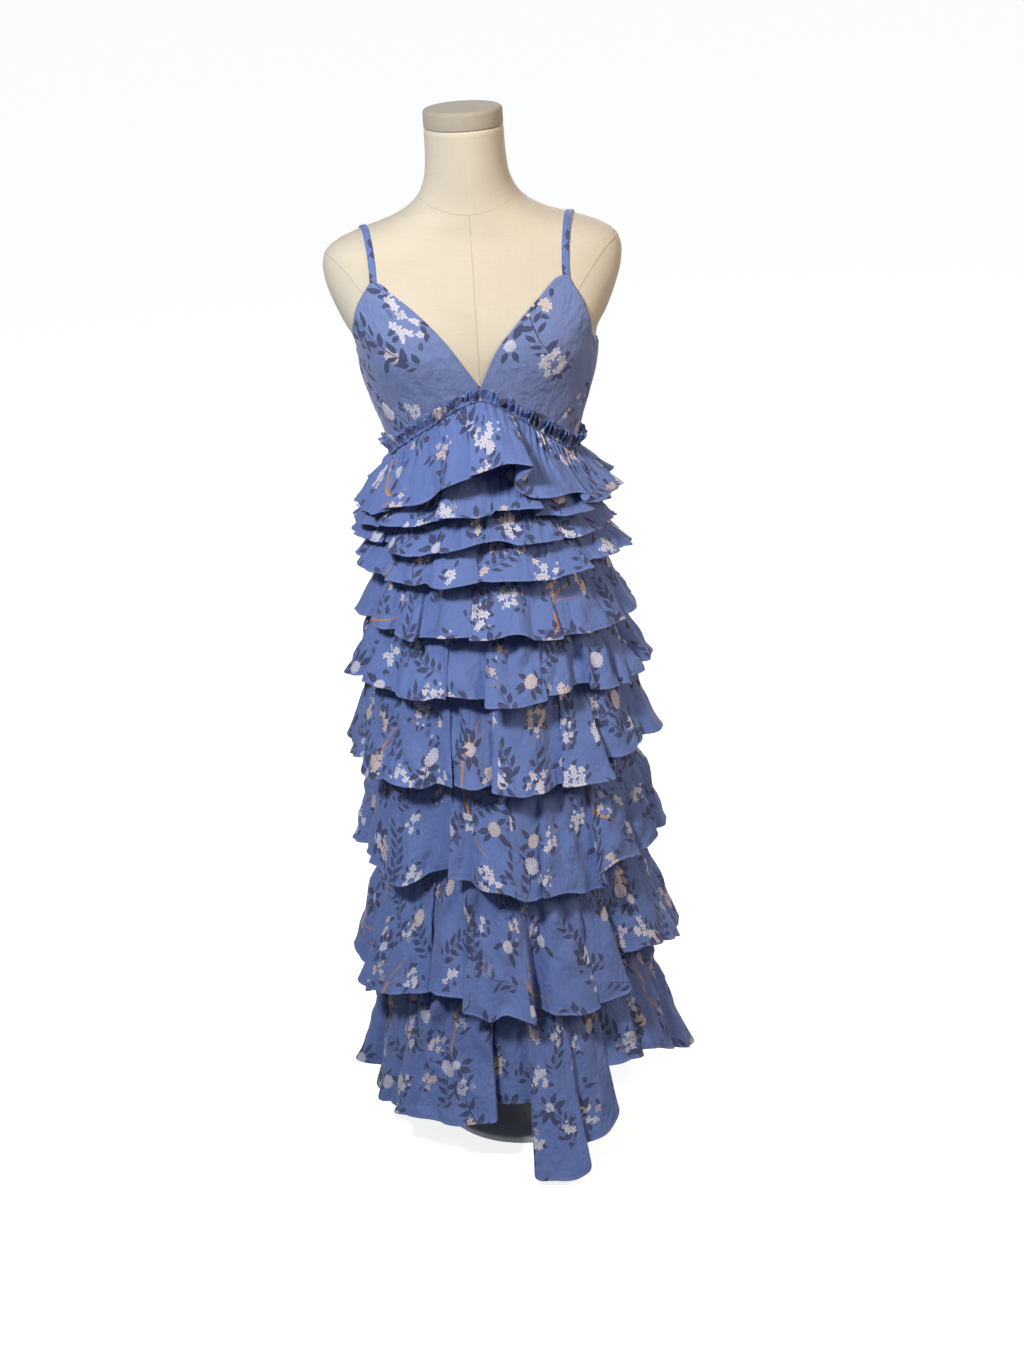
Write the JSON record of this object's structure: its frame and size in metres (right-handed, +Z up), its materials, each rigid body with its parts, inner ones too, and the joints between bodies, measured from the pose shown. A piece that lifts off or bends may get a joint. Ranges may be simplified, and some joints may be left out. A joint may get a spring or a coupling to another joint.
{
  "type": "tiered ruffle midi dress on a dress form",
  "caption": "Sleeveless V-neck midi dress with narrow straps, a gathered empire seam and tiers of ruffles, standing on a limbless dress form with a round base.",
  "frame": {"origin": "centre of the stand base's underside, on the floor, on the pole's axis", "axes": "+Z up the stand's pole to the neck, the dress's front faces -Y, and +X is to the right as the front is looked at"},
  "size_m": [0.4906, 0.441, 1.4648],
  "materials": {
    "blue_cotton": "fine plain-weave cotton in periwinkle blue with a scattered print of pale blossoms, dark leaves and tan twigs",
    "cream_linen": "close-woven cream linen stretched smooth over the form, with thin seams",
    "white_enamel": "smooth white enamel on steel"
  },
  "bodies": {
    "root": {"form_torso": "cream_linen", "form_neck_cap": "cream_linen", "stand_pole": "white_enamel", "stand_base": "white_enamel", "cup_left": "blue_cotton", "cup_right": "blue_cotton", "side_panel_left": "blue_cotton", "side_panel_right": "blue_cotton", "back_left": "blue_cotton", "back_right": "blue_cotton", "strap_left": "blue_cotton", "strap_right": "blue_cotton", "ruched_heading": "blue_cotton", "skirt_foundation": "blue_cotton", "tier_01": "blue_cotton", "tier_02": "blue_cotton", "tier_03": "blue_cotton", "tier_04": "blue_cotton", "tier_05": "blue_cotton", "tier_06": "blue_cotton", "tier_07": "blue_cotton", "tier_08": "blue_cotton", "tier_09": "blue_cotton", "tier_10": "blue_cotton"}
  },
  "joints": []
}
